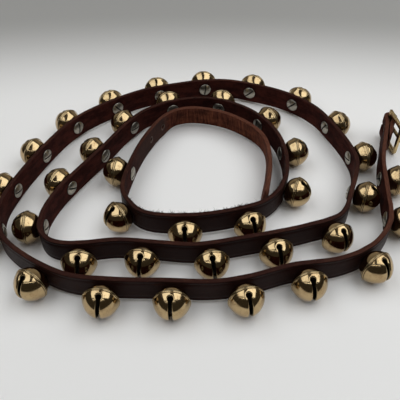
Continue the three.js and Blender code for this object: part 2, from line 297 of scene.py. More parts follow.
def outwardOf(direction):
    turned = np.array([direction[1], -direction[0]])
    return turned / np.linalg.norm(turned)


def bellPlaces():
    places = []
    for i in range(bellRow["count"]):
        distance = strapCut["tipToFirstBell"] + i * bellRow["pitch"]
        if i >= bellRow["wideAfter"]:
            distance += bellRow["wideSpace"] - bellRow["pitch"]
        start = pointAlong(distance - bellRow["flat"] / 2)
        end = pointAlong(distance + bellRow["flat"] / 2)
        outward = outwardOf(end - start)
        angle = math.atan2(outward[1], outward[0])
        places.append({"distance": distance, "start": start, "end": end, "angle": angle})
    return places


places = bellPlaces()
strapRun = places[-1]["distance"] + strapCut["lastBellToBar"]
straightStart = strapRun - strapCut["turnBack"] - strapCut["splay"]
liftStart = places[-1]["distance"] + bellRow["flat"] / 2
layerHalf = (strapCut["thickness"] + strapCut["layerGap"]) / 2
foldRadius = barRadius + fitGap + strapCut["thickness"] / 2
endPoint = pointAlong(straightStart)
endDirection = endPoint - pointAlong(straightStart - strapCut["aimLength"])
endDirection = endDirection / np.linalg.norm(endDirection)
endOutward = outwardOf(endDirection)
endAngle = math.atan2(endDirection[1], endDirection[0])
barPoint = endPoint + endDirection * (strapRun - straightStart) + endOutward * layerHalf


def besideBar(back, side):
    # middle of one of the two layers behind the bar
    parted = ease(1 - back / strapCut["splay"])
    offset = layerHalf + (foldRadius - layerHalf) * parted
    return barPoint - endDirection * back + endOutward * side * offset


def strapLine():
    step = strapCut["ringStep"]
    stops = np.linspace(0, straightStart, math.ceil(straightStart / step), endpoint=False)
    line = []
    for stop in stops:
        point = pointAlong(stop)
        for place in places:
            share = (stop - place["distance"]) / bellRow["flat"] + 1 / 2
            if 0 <= share <= 1:
                point = place["start"] + (place["end"] - place["start"]) * share
        line.append(point)
    line = np.array(line)
    for _ in range(strapCut["smoothing"]):
        line[1:-1] = (line[:-2] + 2 * line[1:-1] + line[2:]) / 4
    length = strapRun - straightStart
    backs = np.linspace(length, 0, math.ceil(length / step), endpoint=False)
    entering = [besideBar(back, -1) for back in backs]
    turns = np.linspace(-math.pi / 2, math.pi / 2, strapCut["foldSteps"])
    ways = [endDirection * math.cos(turn) + endOutward * math.sin(turn) for turn in turns]
    aroundBar = [barPoint + foldRadius * way for way in ways]
    backs = np.linspace(step, strapCut["turnBack"], strapCut["turnBackSteps"])
    turnedBack = [besideBar(back, 1) for back in backs]
    return np.vstack([line, entering, aroundBar, turnedBack])


print("strap laid:", len(layLine), "points,", round(float(layDistance[-1]), 3), "m")


# Leather

billetHoles = {
    "count": 2,
    "pitch": 24 * mm,
    "fromBell": 54 * mm,
    "radius": 2.5 * mm,
    "sides": 20,
    "drillDepth": 12 * mm,
    "aimLength": 2 * mm,  # to both sides of a hole, for the direction through it
    "rubbedRadius": 4.0 * mm,
    "rubbedShare": 0.8,
}
tongueSlot = {"length": 18 * mm, "width": 5.4 * mm}
leatherLook = {
    "grain": (0.0170, 0.0064, 0.0056, 1),
    "grainWorn": (0.038, 0.0145, 0.0105, 1),
    "scuffAndSheen": (0.060, 0.044, 0.040, 1),
    "edge": (0.023, 0.0062, 0.0042, 1),
    "edgePale": (0.080, 0.030, 0.018, 1),
    "edgeDry": (0.130, 0.046, 0.026, 1),
    "fleshDark": (0.0172, 0.0036, 0.0032, 1),
    "flesh": (0.045, 0.0103, 0.0077, 1),
    "fleshDry": (0.180, 0.058, 0.028, 1),
    "burnishedAndSheen": (0.034, 0.0200, 0.0170, 1),  # the flesh side round the buckle holes, burnished and with a painted sheen
    "rim": (0.150, 0.115, 0.100, 1),
    "specular": 0.08,
    "specularTint": (1.0, 0.8, 0.72, 1),
    "edgeRough": 0.58,
    "fleshRough": 0.86,
    "ragged": 0.9,  # borders between the sides
    "dryLeast": 0.06,
    "tipDryAndPaintedLight": 0.9,
    "pebbles": 1.7,  # to the millimetre
    "noises": {  # cells to the millimetre, all ways or along, up and through the strap; detail; roughness
        "border": (0.9, 4, 0.55),
        "fine": (3.2, 6, 0.6),
        "drawn": ((0.035, 1.1, 0.3), 3, 0.55),
        "rubbed": (0.11, 5, 0.65),
        "scuffAndSheen": (0.12, 3, 0.55),
        "upright": ((0.7, 0.06, 0.3), 5, 0.7),
        "blotch": ((0.07, 0.16, 0.16), 5, 0.65),
        "nap": (4.5, 5, 0.7),
        "strand": ((0.18, 1.6, 1.6), 4, 0.65),
        "patch": ((0.022, 0.05, 0.05), 3, 0.55),
    },
    "between": {  # where a mark starts and where it is full, and for some how weak and how strong it is
        "grainZone": (1.35, 1.75),
        "fleshZone": (0.65, 0.25),
        "rubbed": (0.5, 0.75),
        "drawn": (0.42, 0.62),
        "scuffAndSheen": (0.36, 0.66, 0.0, 0.4),
        "fibre": (0.3, 0.72),
        "fibreBlotch": (0.32, 0.66, 0.4, 1.0),
        "blotch": (0.36, 0.66),
        "rim": (0.3, 0.6),
        "strand": (0.5, 0.8),
        "dryStrand": (0.3, 0.7, 0.25, 0.9),
        "patch": (0.5, 0.68, 0.0, 0.28),
        "grainRough": (0.3, 1.3, 0.42, 0.62),
        "paleRun": (0.29, 0.15),  # this one and the next four are metres from the free tip
        "burnishedAndSheenStart": (0.198, 0.210),
        "burnishedAndSheenEnd": (0.300, 0.250, 0.0, 0.75),
        "wornRun": (2.05, 2.17, 0.0, 0.75),
        "scuffAndSheenRun": (2.22, 2.27),
    },
    "grainRelief": {"pebble": 0.35, "fine": 0.5, "drawn": 0.8},
    "fleshRelief": {"upright": 1.3, "nap": 1.0},
    "bump": (0.55, 0.25 * mm),
}


def holeRun(index):
    return strapCut["tipToFirstBell"] - billetHoles["fromBell"] - index * billetHoles["pitch"]


def grainColour(tree, look, run, noises):
    # rubbed along its long creases, and scuffed by the buckle, with a painted sheen there
    between = look["between"]
    wear = fit(tree, noises["rubbed"], *between["rubbed"])
    wear = calc(tree, "MULTIPLY", wear, fit(tree, noises["drawn"], *between["drawn"]))
    colour = mixColour(tree, wear, look["grain"], look["grainWorn"])
    # near the buckle end: scuffs and a painted sheen in one pale grey colour
    scuffAndSheenMask = fit(tree, run, *between["scuffAndSheenRun"])
    scuffAndSheenMask = calc(tree, "MULTIPLY", scuffAndSheenMask, fit(tree, noises["scuffAndSheen"], *between["scuffAndSheen"]))
    return mixColour(tree, scuffAndSheenMask, colour, look["scuffAndSheen"]), wear


def holeRims(tree, axes):
    # how rubbed the leather is round the buckle holes
    rims = 0.0
    between = (billetHoles["rubbedRadius"], billetHoles["radius"])
    for i in range(billetHoles["count"]):
        along = calc(tree, "SUBTRACT", axes.outputs["X"], holeRun(i))
        squares = [calc(tree, "MULTIPLY", side, side) for side in (along, axes.outputs["Y"])]
        away = calc(tree, "SQRT", calc(tree, "ADD", *squares))
        rims = calc(tree, "ADD", rims, fit(tree, away, *between, 0.0, billetHoles["rubbedShare"]))
    return rims


def fleshColour(tree, look, axes, noises, pale):
    # upright fibre marks, paler towards the free tip and darker on the turns further out, partly painted
    # shade, and burnished with a painted sheen and rubbed round the buckle holes
    between = look["between"]
    run = axes.outputs["X"]
    blotch = fit(tree, noises["blotch"], *between["blotch"])
    colour = mixColour(tree, blotch, look["fleshDark"], look["flesh"])
    fibre = fit(tree, noises["upright"], *between["fibre"])
    fibre = calc(tree, "MULTIPLY", fibre, fit(tree, noises["blotch"], *between["fibreBlotch"]))
    # the free tip's flesh paler and the turns further out darker: partly dry fibres, partly painted light
    # and shade
    dry = calc(tree, "ADD", calc(tree, "MULTIPLY", pale, look["tipDryAndPaintedLight"]), look["dryLeast"])
    colour = mixColour(tree, calc(tree, "MULTIPLY", fibre, dry), colour, look["fleshDry"])
    # burnished round the buckle holes, its greyish tone partly a painted sheen
    burnishedAndSheen = fit(tree, run, *between["burnishedAndSheenStart"])
    burnishedAndSheen = calc(tree, "MULTIPLY", burnishedAndSheen, fit(tree, run, *between["burnishedAndSheenEnd"]))
    colour = mixColour(tree, burnishedAndSheen, colour, look["burnishedAndSheen"])
    rim = calc(tree, "MULTIPLY", holeRims(tree, axes), fit(tree, noises["upright"], *between["rim"]))
    return mixColour(tree, rim, colour, look["rim"])


def edgeColour(tree, look, run, noises, pale):
    # burnished, with pale fibres along it, and dry at both ends of the strap and in patches
    between = look["between"]
    strand = fit(tree, noises["strand"], *between["strand"])
    colour = mixColour(tree, strand, look["edge"], look["edgePale"])
    dry = calc(tree, "MAXIMUM", pale, fit(tree, noises["patch"], *between["patch"]))
    dry = calc(tree, "MAXIMUM", dry, fit(tree, run, *between["wornRun"]))
    dry = calc(tree, "MULTIPLY", dry, fit(tree, noises["strand"], *between["dryStrand"]))
    return mixColour(tree, dry, colour, look["edgeDry"])


def leatherMaterial(look):
    material, tree, shader = newMaterial("harnessLeather")
    lie = put(tree, "ShaderNodeAttribute", attribute_name="lie").outputs["Vector"]
    zone = put(tree, "ShaderNodeAttribute", attribute_name="zone").outputs["Fac"]
    axes = put(tree, "ShaderNodeSeparateXYZ", {0: lie})
    run = axes.outputs["X"]
    place = inMillimetres(tree, lie)
    noises = allNoises(tree, place, look["noises"])
    between = look["between"]
    # which side of the leather, with a ragged border
    ragged = calc(tree, "MULTIPLY", calc(tree, "SUBTRACT", noises["border"], noiseMiddle), look["ragged"])
    ragged = calc(tree, "ADD", zone, ragged)
    isGrain = fit(tree, ragged, *between["grainZone"])
    isFlesh = fit(tree, ragged, *between["fleshZone"])
    # colour and roughness of each side
    pale = fit(tree, run, *between["paleRun"])
    grain, wear = grainColour(tree, look, run, noises)
    flesh = fleshColour(tree, look, axes, noises, pale)
    edge = edgeColour(tree, look, run, noises, pale)
    colour = mixColour(tree, isGrain, mixColour(tree, isFlesh, edge, flesh), grain)
    grainRough = fit(tree, calc(tree, "ADD", noises["fine"], wear), *between["grainRough"])
    rough = mixValue(tree, isFlesh, look["edgeRough"], look["fleshRough"])
    rough = mixValue(tree, isGrain, rough, grainRough)
    # relief of each side
    pebbles = put(tree, "ShaderNodeTexVoronoi", {"Vector": place, "Scale": look["pebbles"]}, feature="F1")
    heights = {**noises, "pebble": pebbles.outputs["Distance"]}
    relief = mixValue(tree, isFlesh, noises["strand"], weighed(tree, heights, look["fleshRelief"]))
    relief = mixValue(tree, isGrain, relief, weighed(tree, heights, look["grainRelief"]))
    bump = bumpOf(tree, relief, *look["bump"])
    feed(tree, shader, {"Base Color": colour, "Roughness": rough, "Normal": bump})
    feed(tree, shader, {"Specular IOR Level": look["specular"], "Specular Tint": look["specularTint"]})
    return material


def cornerArc(middle, radius, start, zones):
    points = []
    for i in range(strapCut["cornerSteps"] + 1):
        share = i / strapCut["cornerSteps"]
        angle = math.radians(start + 90 * share)
        zone = zones[0] + (zones[1] - zones[0]) * share
        points.append((middle[0] + radius * math.cos(angle), middle[1] + radius * math.sin(angle), zone))
    return points


def strapSection():
    # (outward, height, zone) round the strap: zone 2 is the grain side, 1 a cut edge, 0 the flesh side
    half = strapCut["thickness"] / 2
    top = strapCut["width"] / 2
    face = strapCut["faceCorner"]
    back = strapCut["fleshCorner"]
    crease = top - strapCut["creaseFromEdge"]
    lip = strapCut["creaseWidth"] / 2
    low = half - strapCut["creaseDepth"]
    upper = [(half, crease - lip, 2), (low, crease, 2), (half, crease + lip, 2)]
    lower = [(out, -high, zone) for out, high, zone in reversed(upper)]
    grain = lower + [(half, top * share, 2) for share in strapCut["grainRows"]] + upper
    flesh = [(-half, top * share, 0) for share in strapCut["fleshRows"]]
    topEdge = [(half * share, top, 1) for share in strapCut["edgeRows"]]
    bottomEdge = [(out, -high, zone) for out, high, zone in reversed(topEdge)]
    section = grain + cornerArc((half - face, top - face), face, 0, (2, 1)) + topEdge
    section += cornerArc((back - half, top - back), back, 90, (1, 0)) + flesh
    section += cornerArc((back - half, back - top), back, 180, (0, 1)) + bottomEdge
    return section + cornerArc((half - face, face - top), face, 270, (1, 2))


def endTrim(run, whole):
    # how narrow the strap is at its rounded ends, and how thin where its turned-back end is skived
    rounding = strapCut["tipRounding"]
    missing = max(rounding - min(run, whole - run), 0)
    inset = rounding - math.sqrt(rounding ** 2 - missing ** 2)
    narrow = 1 - inset / (strapCut["width"] / 2)
    thin = 1 - (1 - strapCut["skivedTo"]) * ease(1 - (whole - run) / strapCut["skive"])
    return narrow, thin


def leanAt(run):
    lean = strapCut["lean"] * ease((strapCut["leanUntil"] - run) / strapCut["leanFade"])
    return lean - strapCut["tipLean"] * ease((strapCut["tipLeanFrom"] - run) / strapCut["tipLeanFade"])


def unevenAt(run):
    # sway of the face, the top edge and the bottom edge
    along = run / strapCut["unevenWave"]
    return [noise.noise(Vector((along, row, strapCut["unevenSeed"]))) for row in strapCut["unevenRows"]]


def strapLoops(line, distance):
    # the section at each point of the line, and where its points lie on the flat leather, with their zones
    section = strapSection()
    top = strapCut["width"] / 2
    ahead = np.gradient(line, axis=0)
    loops = []
    lies = []
    for point, forward, run in zip(line, ahead, distance):
        outward = outwardOf(forward)
        lifted = ease((run - liftStart) / (straightStart - liftStart))
        height = bellRadius + (frameMiddle - bellRadius) * lifted
        narrow, thin = endTrim(run, distance[-1])
        lean = leanAt(run)
        faceSway, topSway, bottomSway = unevenAt(run)
        loop = []
        for depth, high, zone in section:
            out = depth * thin + faceSway * strapCut["unevenFace"]
            lies.append((run, high, out, zone))
            sway = strapCut["unevenEdge"] * (topSway if high > 0 else bottomSway)
            below = top - high * narrow - sway * abs(high) / top
            aside = out * math.cos(lean) + below * math.sin(lean)
            up = top - below * math.cos(lean) + out * math.sin(lean)
            loop.append((point[0] + outward[0] * aside, point[1] + outward[1] * aside, height + up))
        loops.append(loop)
    return loops, np.array(lies)


def strapCutter():
    bm = bmesh.new()
    drill = {
        "cap_ends": True,
        "segments": billetHoles["sides"],
        "radius1": billetHoles["radius"],
        "radius2": billetHoles["radius"],
        "depth": billetHoles["drillDepth"],
    }
    aim = billetHoles["aimLength"]
    for i in range(billetHoles["count"]):
        distance = holeRun(i)
        outward = outwardOf(pointAlong(distance + aim) - pointAlong(distance - aim))
        turn = Vector((0, 0, 1)).rotation_difference(Vector((*outward, 0))).to_matrix().to_4x4()
        where = Matrix.Translation((*pointAlong(distance), bellRadius)) @ turn
        bmesh.ops.create_cone(bm, matrix=where, **drill)
    front = foldRadius + strapCut["thickness"]
    size = Matrix.Diagonal((tongueSlot["length"] + front, 2 * front, tongueSlot["width"], 1))
    away = Matrix.Translation(((front - tongueSlot["length"]) / 2, 0, 0))
    where = Matrix.Translation((*barPoint, frameMiddle)) @ Matrix.Rotation(endAngle, 4, "Z")
    bmesh.ops.create_cube(bm, size=1, matrix=where @ away @ size)
    return makeObject("strapCutter", bm, [])


def makeStrap(leather):
    line = strapLine()
    distance = np.concatenate([[0], np.cumsum(np.linalg.norm(np.diff(line, axis=0), axis=1))])
    loops, lies = strapLoops(line, distance)
    bm = bmesh.new()
    addLoops(bm, loops)
    strap = makeObject("strapLeather", bm, [leather])
    finder = kdtree.KDTree(len(strap.data.vertices))
    for vertex in strap.data.vertices:
        finder.insert(vertex.co, vertex.index)
    finder.balance()
    cutWith(strap, strapCutter())
    lies = lies[[finder.find(vertex.co)[1] for vertex in strap.data.vertices]]
    setVector(strap.data, "lie", lies[:, :3])
    setFloat(strap.data, "zone", lies[:, 3])
    for polygon in strap.data.polygons:
        polygon.use_smooth = True
    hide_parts("strap")
    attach(strap, "strap")
    print("strap:", len(strap.data.polygons), "faces,", round(float(distance[-1]), 3), "m long")


# Brass bells with their screws and pellets

bellForm = {
    "outerDepth": 13.4 * mm,
    "innerDepth": 10 * mm,
    "wall": 1.5 * mm,
    "slitHalf": 1.55 * mm,
    "sideSteps": 12,
    "keyhole": 2.3 * mm,
    "keyholeAngle": math.radians(66),
    "keyholeSteps": 9,
    "hollowTurns": (88, 72, 50, 28, 10),  # degrees from the ridge, inside the back half
    "hollowShares": (0.97, 0.72, 0.48, 0.28, 0.12, 0.0),  # from the slit to the ridge, inside the front half
    "lip": 1.7 * mm,
    "lipShape": (  # share of the lip, share of the wall that it is sunk, shine
        (0.0, 0.75, 0.35), (0.07, 0.46, 0.6), (0.2, 0.26, 0.9),
        (0.42, 0.11, 1.0), (0.7, 0.02, 1.0), (1.0, 0.0, 1.0),
    ),
    "frontFullness": 1.6,
    "frontLoops": 13,
    "frontReach": 0.92,  # of the way from the lip to the ridge
    "frontSpacing": 1.1,
    "ridgeBead": 0.28 * mm,
    "ridgeShape": (  # beads out, beads along, shine
        (-0.05, 4.0, 1.0), (-1.0, 3.3, 0.1), (-1.0, 2.4, 0.0), (0.2, 1.6, 0.8),
        (0.9, 0.8, 1.0), (1.0, 0.0, 1.0), (0.8, -0.9, 1.0), (-0.2, -1.7, 0.5),
        (-0.9, -2.2, 0.1), (-0.9, -2.8, 0.1), (-0.1, -3.6, 0.9),
    ),
    "backTaper": math.tan(math.radians(22)),
    "backFullness": 4.0,
    "backLoops": 13,
    "backTurns": (math.radians(1.6), math.radians(84)),  # from the ridge towards the back pole
    "backSpacing": 1.7,  # closer rings by the ridge
    "backShine": 0.92,
    "footRadius": 4.2 * mm,
    "collar": ((0.93, 0.6 * mm), (0.97, 0.0)),  # share of the foot's radius, distance from the seat
    "collarShine": 0.3,
    "dent": 0.16 * mm,
    "dentWave": 6.5 * mm,
    "dentSeed": 5.7,
    "roll": math.radians(5),
}
bellSkins = {"brass": 0, "steel": 1, "grimeAndShade": 2, "iron": 3}
seatOffset = strapCut["thickness"] / 2 + fitGap
ridgeOffset = seatOffset + bellForm["innerDepth"]
rimRadius = bellRadius - bellForm["ridgeBead"]
pressed = 0.05 * mm  # how far the foot and the screw sink into the leather


def slitOutline():
    # the slit with its two keyholes, flattened: angle from the pole, spread round it
    half = bellForm["slitHalf"]
    hole = bellForm["keyhole"]
    middle = bellForm["keyholeAngle"]
    start = -math.acos(half / hole)
    neck = middle + hole * math.sin(start) / rimRadius
    neckHigh = math.sqrt((rimRadius * math.sin(neck)) ** 2 - half ** 2)
    quarter = [(half, neckHigh * i / bellForm["sideSteps"]) for i in range(bellForm["sideSteps"])]
    for turn in np.linspace(start, math.pi / 2, bellForm["keyholeSteps"] + 1):
        y = hole * math.cos(turn)
        reach = rimRadius * math.sin(middle + hole * math.sin(turn) / rimRadius)
        quarter.append((y, math.sqrt(reach ** 2 - y ** 2)))
    upper = quarter + [(-y, z) for y, z in reversed(quarter[1:-1])] + [(-quarter[0][0], 0)]
    points = np.array(upper + [(-y, -z) for y, z in upper[1:-1]])
    theta = np.arcsin(np.hypot(points[:, 0], points[:, 1]) / rimRadius)
    phi = np.arctan2(points[:, 1], points[:, 0])
    return np.stack([theta * np.cos(phi), theta * np.sin(phi)], 1)


outline = slitOutline()
turns = np.linspace(0, 2 * math.pi, len(outline), endpoint=False)
rimCircle = np.stack([np.cos(turns), np.sin(turns)], 1) * math.pi / 2


def frontLoop(share, sunk=0.0, lip=0.0):
    # a loop of the front half between the slit (share 0) and the ridge (share 1), sunk below the outer face
    way = rimCircle - outline
    reach = np.linalg.norm(way, axis=1) * rimRadius
    where = outline + way * (share + (1 - share) * lip / reach)[:, None]
    theta = np.linalg.norm(where, axis=1)
    phi = np.arctan2(where[:, 1], where[:, 0])
    height = np.clip(np.cos(theta), 0, 1)
    across = (rimRadius - sunk) * np.sqrt(1 - height ** bellForm["frontFullness"])
    along = ridgeOffset + (bellForm["outerDepth"] - sunk) * height
    return np.stack([along, across * np.cos(phi), across * np.sin(phi)], 1)


def roundLoop(radius, along):
    flat = np.full(len(turns), ridgeOffset + along)
    return np.stack([flat, radius * np.cos(turns), radius * np.sin(turns)], 1)


def backLoop(turn, sunk=0.0):
    # a ring of the back half, a tapered cup: turn 0 is the ridge and a quarter turn the back pole
    power = 2 / bellForm["backFullness"]
    deep = (bellForm["innerDepth"] - sunk) * math.sin(turn) ** power
    radius = (rimRadius - sunk - deep * bellForm["backTaper"]) * math.cos(turn) ** power
    return roundLoop(radius, -deep)


def bellLoops():
    # from the closed back of the hollow, out through the slit and over the front,
    # then over the ridge and the back to the foot, each loop with its shine
    wall = bellForm["wall"]
    lip = bellForm["lip"]
    bead = bellForm["ridgeBead"]
    foot = bellForm["footRadius"]
    rings = [(backLoop(math.radians(turn), wall), 0.0) for turn in bellForm["hollowTurns"]]
    rings += [(frontLoop(share, wall), 0.0) for share in bellForm["hollowShares"]]
    rings += [(frontLoop(0.0, wall * sunk, lip * out), shine) for out, sunk, shine in bellForm["lipShape"]]
    steps = np.arange(1, bellForm["frontLoops"] + 1) / bellForm["frontLoops"]
    shares = bellForm["frontReach"] * steps ** bellForm["frontSpacing"]
    rings += [(frontLoop(share, 0.0, lip), 1.0) for share in shares]
    for out, along, shine in bellForm["ridgeShape"]:
        rings.append((roundLoop(rimRadius + bead * out, bead * along), shine))
    first, last = bellForm["backTurns"]
    backs = first + (last - first) * np.linspace(0, 1, bellForm["backLoops"]) ** bellForm["backSpacing"]
    rings += [(backLoop(turn), bellForm["backShine"]) for turn in backs]
    seat = strapCut["thickness"] / 2 - pressed - ridgeOffset
    for share, off in bellForm["collar"]:
        rings.append((roundLoop(foot * share, seat + off), bellForm["collarShine"]))
    return [loop for loop, _ in rings], [shine for _, shine in rings]


def dented(loops, seed):
    # slow unevenness of a cast and polished surface
    middle = np.array([ridgeOffset, 0, 0])
    own = Vector((seed * bellForm["dentSeed"], 0, 0))
    moved = []
    for loop in loops:
        way = loop - middle
        way = way / np.linalg.norm(way, axis=1)[:, None]
        swell = [noise.noise(Vector(point / bellForm["dentWave"]) + own) for point in loop]
        moved.append(loop + way * (np.array(swell) * bellForm["dent"])[:, None])
    return moved


screwForm = {
    "profile": (  # radius and height of the head in millimetres, from its rim to its middle
        (6.5, 0.0), (6.5, 0.75), (6.38, 0.98), (6.1, 1.12),
        (5.2, 1.62), (3.9, 2.12), (2.2, 2.45), (0.7, 2.6),
    ),
    "sides": 40,
    "slotWidth": 1.5 * mm,
    "slotDepth": 1.35 * mm,
    "slotLength": 20 * mm,
    "roundEdge": 0.16 * mm,
    "roundSteps": 2,
    "roundAngle": math.radians(50),
    "grimeAndShadeDeep": 0.25 * mm,
}


def screwMesh():
    dome = np.array(screwForm["profile"]) * mm
    around = np.linspace(0, 2 * math.pi, screwForm["sides"], endpoint=False)
    under = -strapCut["thickness"] / 2 + pressed
    loops = []
    for radius, high in dome:
        ring = [np.full(len(around), under - high), radius * np.cos(around), radius * np.sin(around)]
        loops.append(np.stack(ring, 1))
    bm = bmesh.new()
    addLoops(bm, loops)
    screw = makeObject("screwMaster", bm, [])
    box = bmesh.new()
    size = Matrix.Diagonal((2 * screwForm["slotDepth"], screwForm["slotWidth"], screwForm["slotLength"], 1))
    bmesh.ops.create_cube(box, size=1, matrix=Matrix.Translation((under - dome[-1][1], 0, 0)) @ size)
    cutWith(screw, makeObject("screwCutter", box, []))
    bevel = screw.modifiers.new("edges", "BEVEL")
    bevel.width = screwForm["roundEdge"]
    bevel.segments = screwForm["roundSteps"]
    bevel.limit_method = "ANGLE"
    bevel.angle_limit = screwForm["roundAngle"]
    mesh = modifiedMesh(screw)
    bpy.data.objects.remove(screw)
    for face in mesh.polygons:
        fromMiddle = math.hypot(face.center.y, face.center.z)
        full = np.interp(fromMiddle, dome[::-1, 0], dome[::-1, 1])  # height of the head without its slot
        sunk = full - (under - face.center.x)
        # faces deep in the screw slot get a near-black colour: grime and painted shade
        face.material_index = bellSkins["grimeAndShade" if sunk > screwForm["grimeAndShadeDeep"] else "steel"]
    return mesh


pelletForm = {
    "radius": 4.0 * mm,
    "splits": 3,
    "drop": 7.87 * mm,
    "pit": 0.16 * mm,
    "pitWave": 1.7 * mm,
    "pitSeed": 3.1,
}


def addPellet(bm, where, seed, materialIndex):
    ball = bmesh.ops.create_icosphere(bm, subdivisions=pelletForm["splits"], radius=pelletForm["radius"])
    own = Vector((seed * pelletForm["pitSeed"], 0, 0))
    for vertex in ball["verts"]:
        way = vertex.co.normalized()
        pit = noise.noise(vertex.co / pelletForm["pitWave"] + own)
        vertex.co = where + vertex.co + way * pit * pelletForm["pit"]
        for face in vertex.link_faces:
            face.material_index = materialIndex


bellLook = {
    "name": "bellBrass",
    "bright": (0.495, 0.363, 0.195, 1),
    "dull": (0.27, 0.165, 0.075, 1),
    "satin": (0.20, 0.165, 0.09, 1),
    "patina": (0.12, 0.085, 0.05, 1),
    "rough": (0.05, 0.13),
}
buckleLook = {
    "name": "buckleBrass",
    "bright": (0.60, 0.45, 0.23, 1),
    "dull": (0.34, 0.22, 0.10, 1),
    "satin": (0.42, 0.31, 0.16, 1),
    "patina": (0.12, 0.085, 0.05, 1),
    "rough": (0.2, 0.36),
}
brassWear = {
    "ownShift": 90.0,  # so that no two bells are stained alike
    "noises": {"cloud": (0.14, 5, 0.6), "speck": (1.3, 5, 0.65), "brushed": ((7, 0.5, 7), 3, 0.6)},
    "cloudBetween": (0.38, 0.66),
    "speckBetween": (0.34, 0.64),
    "brushedBetween": (0.3, 0.75),
    "satinBetween": (0.95, 0.55),  # of the polish
    "patinaBetween": (0.45, 0.05),
    "stain": 0.8,
    "stainRough": 0.14,
    "satinRough": 0.3,
    "relief": {"brushed": 0.25, "speck": 1.0},
    "bump": (0.1, 0.06 * mm),
}


def brassMaterial(look):
    material, tree, shader = newMaterial(look["name"])
    chance = put(tree, "ShaderNodeObjectInfo").outputs["Random"]
    chance = calc(tree, "MULTIPLY", chance, brassWear["ownShift"])
    noises = allNoises(tree, calcVector(tree, "ADD", objectPlace(tree), chance), brassWear["noises"])
    polish = put(tree, "ShaderNodeAttribute", attribute_name="polish").outputs["Fac"]
    stain = fit(tree, noises["cloud"], *brassWear["cloudBetween"])
    stain = calc(tree, "MULTIPLY", stain, fit(tree, noises["speck"], *brassWear["speckBetween"]))
    satin = fit(tree, polish, *brassWear["satinBetween"])
    patina = fit(tree, polish, *brassWear["patinaBetween"])
    colour = mixColour(tree, calc(tree, "MULTIPLY", stain, brassWear["stain"]), look["bright"], look["dull"])
    colour = mixColour(tree, satin, colour, look["satin"])
    colour = mixColour(tree, patina, colour, look["patina"])
    rough = fit(tree, noises["brushed"], *brassWear["brushedBetween"], *look["rough"])
    rough = calc(tree, "ADD", rough, calc(tree, "MULTIPLY", stain, brassWear["stainRough"]))
    rough = calc(tree, "ADD", rough, calc(tree, "MULTIPLY", satin, brassWear["satinRough"]))
    bump = bumpOf(tree, weighed(tree, noises, brassWear["relief"]), *brassWear["bump"])
    feed(tree, shader, {"Base Color": colour, "Metallic": 1.0, "Roughness": rough, "Normal": bump})
    return material


steelLook = {
    "colours": ((0.40, 0.372, 0.315, 1), (0.26, 0.236, 0.194, 1)),
    "cloud": (0.5, 5, 0.65),
    "cloudBetween": (0.35, 0.7),
    "scratch": ((1.2, 6.0, 0.84), 4, 0.7),
    "scratchRough": (0.3, 0.7, 0.28, 0.42),
    "bump": (0.08, 0.05 * mm),
}


def steelMaterial():
    material, tree, shader = newMaterial("screwSteel")
    place = objectPlace(tree)
    cloud = fit(tree, noiseOf(tree, place, *steelLook["cloud"]), *steelLook["cloudBetween"])
    colour = mixColour(tree, cloud, *steelLook["colours"])
    scratch = noiseOf(tree, place, *steelLook["scratch"])
    rough = fit(tree, scratch, *steelLook["scratchRough"])
    bump = bumpOf(tree, scratch, *steelLook["bump"])
    feed(tree, shader, {"Base Color": colour, "Metallic": 1.0, "Roughness": rough, "Normal": bump})
    return material


# slot grime and painted shade, near-black, for the deep faces of the screw slot
slotGrimeAndShadeLook = {
    "colours": ((0.010, 0.008, 0.007, 1), (0.040, 0.033, 0.028, 1)),
    "dust": (1.4, 4, 0.55),
    "dustBetween": (0.4, 0.7),
    "rough": 0.85,
}


def slotGrimeAndShadeMaterial():
    material, tree, shader = newMaterial("slotGrimeAndShade")
    dust = noiseOf(tree, objectPlace(tree), *slotGrimeAndShadeLook["dust"])
    colour = mixColour(tree, fit(tree, dust, *slotGrimeAndShadeLook["dustBetween"]), *slotGrimeAndShadeLook["colours"])
    feed(tree, shader, {"Base Color": colour, "Roughness": slotGrimeAndShadeLook["rough"]})
    return material


ironLook = {
    "colours": ((0.115, 0.11, 0.105, 1), (0.13, 0.055, 0.026, 1)),
    "rust": (0.7, 6, 0.65),
    "rustBetween": (0.42, 0.66),
    "metallic": 0.7,
    "rough": (0.5, 0.82),
    "pits": (2.5, 6, 0.55),
    "bump": (0.4, 0.15 * mm),
}


def ironMaterial():
    material, tree, shader = newMaterial("pelletIron")
    place = objectPlace(tree)
    rust = fit(tree, noiseOf(tree, place, *ironLook["rust"]), *ironLook["rustBetween"])
    colour = mixColour(tree, rust, *ironLook["colours"])
    rough = fit(tree, rust, 0, 1, *ironLook["rough"])
    bump = bumpOf(tree, noiseOf(tree, place, *ironLook["pits"]), *ironLook["bump"])
    inputs = {"Base Color": colour, "Metallic": ironLook["metallic"], "Roughness": rough, "Normal": bump}
    feed(tree, shader, inputs)
    return material


def bellMatrix(place):
    middle = (place["start"] + place["end"]) / 2
    return Matrix.Translation((*middle, bellRadius)) @ Matrix.Rotation(place["angle"], 4, "Z")


